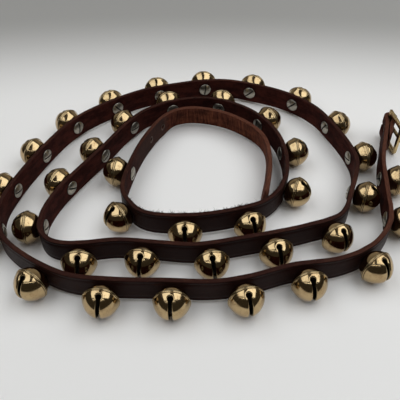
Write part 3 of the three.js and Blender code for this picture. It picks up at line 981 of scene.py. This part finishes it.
def makeBells(brass, steel, grimeAndShade, iron):
    screw = screwMesh()
    loops, polish = bellLoops()
    shine = np.repeat(polish, len(outline))
    rest = Vector((ridgeOffset, 0, -pelletForm["drop"]))
    for i, place in enumerate(places):
        number = f"{i + 1:02d}"
        bm = bmesh.new()
        addLoops(bm, dented(loops, i + 1))
        roll = Matrix.Rotation(dice.uniform(-1, 1) * bellForm["roll"], 4, "X")
        bmesh.ops.transform(bm, matrix=roll, verts=bm.verts)
        before = len(bm.verts)
        bm.from_mesh(screw)
        bm.verts.ensure_lookup_table()
        spin = Matrix.Rotation(dice.uniform(0, math.pi), 4, "X")
        bmesh.ops.transform(bm, matrix=spin, verts=bm.verts[before:])
        ownPellet = i % bellRow["pelletEvery"] == 0  # a piece of its own, or one with the bell
        if not ownPellet:
            addPellet(bm, rest, i, bellSkins["iron"])
        bell = makeObject("brassBell_" + number, bm, [brass, steel, grimeAndShade, iron])
        others = np.ones(len(bell.data.vertices) - len(shine))
        setFloat(bell.data, "polish", np.concatenate([shine, others]))
        bell.matrix_world = bellMatrix(place)
        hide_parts("bell_" + number)
        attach(bell, "strap")
        if ownPellet:
            bm = bmesh.new()
            addPellet(bm, Vector(), i, 0)
            pellet = makeObject("ironPellet_" + number, bm, [iron])
            pellet.matrix_world = bellMatrix(place) @ Matrix.Translation(rest)
            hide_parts("pellet_" + number)
            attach(pellet, "pellet_" + number)
    bpy.data.meshes.remove(screw)
    print("bells:", len(places), "with", len(shine), "points each")


# Buckle

buckleForm = {
    "rail": 4.5 * mm,
    "thick": 3.0 * mm,
    "length": 30 * mm,
    "height": 34 * mm,
    "corner": 2.9 * mm,
    "cornerSteps": 7,
    "railPast": 1.1,  # how far the side rails reach past the bar's middle, in radii of the bar
    "railSection": (16, 4.5),  # sides, and how square: 2 is round
    "barSection": (24, 2),
    "barSteps": 9,
    "tongueWidth": 4.0 * mm,
    "tongueThick": 2.2 * mm,
    "tongueTip": 31 * mm,
    "tongueSection": (16, 3),
    "tongueSteps": 14,
    "tongueTaper": 6 * mm,
    "tongueTipShare": 0.55,  # of its width and thickness
    "curlFrom": 5 * mm,
    "curlHug": 0.15 * mm,
    "curlTurns": (180, 470),  # degrees round the bar
    "curlSteps": 30,
    "polish": 0.9,
}
buckleMatrix = Matrix.Translation((*barPoint, frameMiddle))
buckleMatrix = buckleMatrix @ Matrix.Rotation(endAngle - frameFold - math.pi / 2, 4, "Z")


def roundedBox(wide, high, sides, squareness):
    # a closed outline between an ellipse and a rectangle
    around = np.linspace(0, 2 * math.pi, sides, endpoint=False) + math.pi / sides
    cosine = np.cos(around)
    sine = np.sin(around)
    x = np.sign(cosine) * np.abs(cosine) ** (2 / squareness) * wide / 2
    y = np.sign(sine) * np.abs(sine) ** (2 / squareness) * high / 2
    return zip(x, y)


def swept(bm, path, flat, wide, high, section):
    # sweeps a rounded section along a path that lies square to the flat direction
    path = [Vector(point) for point in path]
    flat = Vector(flat)
    loops = []
    for i, point in enumerate(path):
        ahead = (path[min(i + 1, len(path) - 1)] - path[max(i - 1, 0)]).normalized()
        beside = flat.cross(ahead).normalized()
        wideHere = wide[i] if isinstance(wide, list) else wide
        highHere = high[i] if isinstance(high, list) else high
        loops.append([point + beside * x + flat * y for x, y in roundedBox(wideHere, highHere, *section)])
    addLoops(bm, loops)


def finishBuckle(name, bm, brass, node):
    piece = makeObject(name, bm, [brass])
    setFloat(piece.data, "polish", np.full(len(piece.data.vertices), buckleForm["polish"]))
    piece.matrix_world = buckleMatrix
    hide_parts(node)
    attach(piece, node)


def makeFrame(brass):
    rail = buckleForm["rail"]
    side = (buckleForm["height"] - rail) / 2
    far = buckleForm["length"] - rail / 2
    corner = buckleForm["corner"]
    path = [(0, -barRadius * buckleForm["railPast"], -side), (0, barRadius, -side)]
    for turn in np.linspace(0, math.pi / 2, buckleForm["cornerSteps"] + 1):
        path.append((0, far - corner + corner * math.sin(turn), -side + corner - corner * math.cos(turn)))
    path += [(0, y, -z) for _, y, z in reversed(path)]
    bm = bmesh.new()
    swept(bm, path, (1, 0, 0), rail, buckleForm["thick"], buckleForm["railSection"])
    bar = [(0, 0, z) for z in np.linspace(-side, side, buckleForm["barSteps"])]
    swept(bm, bar, (1, 0, 0), 2 * barRadius, 2 * barRadius, buckleForm["barSection"])
    finishBuckle("buckleFrame", bm, brass, "buckle_frame")


def makeTongue(brass):
    thick = buckleForm["tongueThick"]
    tip = buckleForm["tongueTip"]
    start = buckleForm["curlFrom"]
    least = buckleForm["tongueTipShare"]
    ring = barRadius + fitGap + thick / 2 - buckleForm["curlHug"]
    away = -(buckleForm["thick"] / 2 + fitGap + thick / 2)
    path = [(away, y, 0) for y in np.linspace(tip, start, buckleForm["tongueSteps"])]
    for turn in np.radians(np.linspace(*buckleForm["curlTurns"], buckleForm["curlSteps"])):
        path.append((ring * math.cos(turn), ring * math.sin(turn), 0))
    taper = [ease((tip - y) / buckleForm["tongueTaper"]) if y > start else 1.0 for _, y, _ in path]
    shares = [least + (1 - least) * full for full in taper]
    wide = [thick * share for share in shares]
    high = [buckleForm["tongueWidth"] * share for share in shares]
    bm = bmesh.new()
    swept(bm, path, (0, 0, 1), wide, high, buckleForm["tongueSection"])
    finishBuckle("buckleTongue", bm, brass, "buckle_tongue")
    print("buckle made")


# Stitches through the turned-back end

stitchForm = {
    "fromEdge": 3.0 * mm,
    "first": 14.5 * mm,
    "last": 29 * mm,
    "length": 3.0 * mm,
    "gap": 0.9 * mm,
    "radius": 0.38 * mm,
    "section": (8, 2),  # sides, round
    # share of the stitch's length, radii above the leather
    "arch": ((0.0, -0.5), (0.12, 0.35), (0.5, 0.75), (0.88, 0.35), (1.0, -0.5)),
}
threadLook = {
    "colours": ((0.030, 0.019, 0.013, 1), (0.095, 0.062, 0.04, 1)),
    "twist": (3.0, 4, 0.55),
    "twistBetween": (0.35, 0.65),
    "rough": 0.68,
    "bump": (0.5, 0.1 * mm),
}


def threadMaterial():
    material, tree, shader = newMaterial("waxedThread")
    twist = noiseOf(tree, objectPlace(tree), *threadLook["twist"])
    colour = mixColour(tree, fit(tree, twist, *threadLook["twistBetween"]), *threadLook["colours"])
    bump = bumpOf(tree, twist, *threadLook["bump"])
    feed(tree, shader, {"Base Color": colour, "Roughness": threadLook["rough"], "Normal": bump})
    return material


def stitchPath(back, side, row):
    path = []
    for share, above in stitchForm["arch"]:
        at = besideBar(back + stitchForm["length"] * share, side)
        at = at + endOutward * side * (strapCut["thickness"] / 2 + above * stitchForm["radius"])
        path.append((*at, frameMiddle + row))
    return path


def makeStitches(thread):
    bm = bmesh.new()
    rowHigh = strapCut["width"] / 2 - stitchForm["fromEdge"]
    pitch = stitchForm["length"] + stitchForm["gap"]
    count = int((stitchForm["last"] - stitchForm["first"]) / pitch)
    thick = 2 * stitchForm["radius"]
    for side in (-1, 1):
        for row in (-rowHigh, rowHigh):
            for i in range(count):
                path = stitchPath(stitchForm["first"] + i * pitch, side, row)
                swept(bm, path, (0, 0, 1), thick, thick, stitchForm["section"])
    stitches = makeObject("turnBackStitches", bm, [thread])
    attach(stitches, "strap")
    print("stitches made")


# Loose fibres on the cut edge of the innermost turn

fibreForm = {
    "between": (0.33, 0.68),  # metres from the free tip
    "tufts": 170,
    "each": (4, 14),
    "spread": 0.6 * mm,
    "long": (1.0 * mm, 3.2 * mm),
    "leanAlong": (-0.8, 0.8),
    "leanOut": (-1.1, 0.2),
    "rootDepth": (0.55, 0.97),  # from the middle of the edge to the flesh side
    "rootSunk": 0.25 * mm,
    "steps": (0.0, 0.5, 1.0),
    "radius": 0.11 * mm,
    "taperFrom": 1.15,
    "section": (4, 2),  # sides, round
}
fibreLook = {
    "colours": ((0.018, 0.009, 0.007, 1), (0.075, 0.038, 0.025, 1)),
    "shade": (0.7, 2, 0.55),
    "shadeBetween": (0.35, 0.65),
    "rough": 0.8,
}


def fibreMaterial():
    material, tree, shader = newMaterial("leatherFibre")
    shade = noiseOf(tree, objectPlace(tree), *fibreLook["shade"])
    colour = mixColour(tree, fit(tree, shade, *fibreLook["shadeBetween"]), *fibreLook["colours"])
    feed(tree, shader, {"Base Color": colour, "Roughness": fibreLook["rough"]})
    return material


def makeFibres(material):
    runs = []
    for _ in range(fibreForm["tufts"]):
        middle = dice.uniform(*fibreForm["between"])
        for _ in range(dice.randint(*fibreForm["each"])):
            runs.append(middle + dice.gauss(0, 1) * fibreForm["spread"])
    bm = bmesh.new()
    half = strapCut["thickness"] / 2
    rootHigh = bellRadius + strapCut["width"] / 2 - fibreForm["rootSunk"]
    thick = [2 * fibreForm["radius"] * (fibreForm["taperFrom"] - share) for share in fibreForm["steps"]]
    for run in runs:
        ahead = pointAlong(run + mm) - pointAlong(run - mm)
        outward = outwardOf(ahead)
        ahead = ahead / np.linalg.norm(ahead)
        long = dice.uniform(*fibreForm["long"]) * dice.random()
        lean = ahead * dice.uniform(*fibreForm["leanAlong"])
        lean = lean + outward * dice.uniform(*fibreForm["leanOut"])
        root = pointAlong(run) - outward * half * dice.uniform(*fibreForm["rootDepth"])
        path = []
        for share in fibreForm["steps"]:
            at = root + lean * long * share * share
            path.append((*at, rootHigh + long * share))
        swept(bm, path, (*ahead, 0), thick, thick, fibreForm["section"])
    fibres = makeObject("edgeFibres", bm, [material])
    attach(fibres, "strap")
    print("fibres:", len(runs))


# Floor, light and camera

studio = {
    "floorPale": (0.865, 0.838, 0.812, 1),
    "floorPaintedShade": (0.36, 0.347, 0.329, 1),
    "floorStretch": (0.45, 1, 1),  # the painted pool of light on the floor is a wide oval, a little nearer than the part
    "floorMiddle": (0, 80 * mm, 0),  # a little nearer than the part
    "paintedShadeBetween": (0.215, 0.45),
    "floorRough": 0.6,
    "floorSpecular": 0.2,
    "floorSize": 8.0,
    "world": (0.042, 0.038, 0.032, 1),
    "worldBack": (0.30, 0.28, 0.245, 1),
    "backBetween": (0.25, 0.9),
    "backBelow": (0.8, 0.3),
    "panels": (
        {"name": "leftSoftbox", "place": (-0.78, 0.08, 1.1), "size": (1.15, 1.7), "power": 10.8},
        {"name": "rightSoftbox", "place": (0.85, 0.08, 1.1), "size": (1.4, 1.7), "power": 16.0},
        {"name": "frontStrip", "place": (-0.3, -0.90, 1.0), "size": (1.6, 0.06), "power": 1.0},
    ),
    "lampColour": (0.93, 0.97, 1.0),
    "cameraPlace": (-8 * mm, -380 * mm),
    "cameraHigh": 332.5 * mm,
    "cameraTilt": math.radians(46),
    "lens": 46.8,
    "sensor": 36,
    "clipStart": 10 * mm,
}


def makeFloor():
    material, tree, shader = newMaterial("studioFloor")
    place = put(tree, "ShaderNodeTexCoord").outputs["Object"]
    place = calcVector(tree, "MULTIPLY", place, studio["floorStretch"])
    place = calcVector(tree, "ADD", place, studio["floorMiddle"])
    away = put(tree, "ShaderNodeVectorMath", {0: place}, operation="LENGTH").outputs["Value"]
    # painted pool of light: the floor colour darkens away from the oval as painted shade
    far = fit(tree, away, *studio["paintedShadeBetween"])
    tone = mixColour(tree, far, studio["floorPale"], studio["floorPaintedShade"])
    feed(tree, shader, {"Base Color": tone, "Roughness": studio["floorRough"]})
    feed(tree, shader, {"Specular IOR Level": studio["floorSpecular"]})
    bm = bmesh.new()
    bmesh.ops.create_grid(bm, x_segments=1, y_segments=1, size=studio["floorSize"] / 2)
    floor = makeObject("studioFloor", bm, [material], smooth=False)


def makeLight():
    world = bpy.data.worlds.new("studioWorld")
    bpy.context.scene.world = world
    world.use_nodes = True
    tree = world.node_tree
    way = put(tree, "ShaderNodeSeparateXYZ", {0: put(tree, "ShaderNodeTexCoord").outputs["Generated"]})
    behind = fit(tree, way.outputs["Y"], *studio["backBetween"])
    low = fit(tree, way.outputs["Z"], *studio["backBelow"])
    tone = mixColour(tree, calc(tree, "MULTIPLY", behind, low), studio["world"], studio["worldBack"])
    feed(tree, tree.nodes["Background"], {"Color": tone})
    for panel in studio["panels"]:
        lamp = bpy.data.lights.new(panel["name"], "AREA")
        lamp.shape = "RECTANGLE"
        lamp.size, lamp.size_y = panel["size"]
        lamp.energy = panel["power"]
        lamp.color = studio["lampColour"]
        softbox = bpy.data.objects.new(panel["name"], lamp)
        softbox.location = panel["place"]
        bpy.context.scene.collection.objects.link(softbox)


def makeCamera():
    data = bpy.data.cameras.new("photoCamera")
    data.lens = studio["lens"]
    data.sensor_width = studio["sensor"]
    data.clip_start = studio["clipStart"]
    camera = bpy.data.objects.new("photoCamera", data)
    camera.location = (*(np.array(studio["cameraPlace"]) + shift), studio["cameraHigh"])
    camera.rotation_euler = (studio["cameraTilt"], 0, 0)
    bpy.context.scene.collection.objects.link(camera)
    bpy.context.scene.camera = camera
    print("studio set")


bpy.context.scene.view_settings.view_transform = "Standard"
makeFloor()
makeLight()
makeCamera()
makeStrap(leatherMaterial(leatherLook))
bellBrass = brassMaterial(bellLook)
buckleBrass = brassMaterial(buckleLook)
makeBells(bellBrass, steelMaterial(), slotGrimeAndShadeMaterial(), ironMaterial())
makeFrame(buckleBrass)
makeTongue(buckleBrass)
makeStitches(threadMaterial())
makeFibres(fibreMaterial())
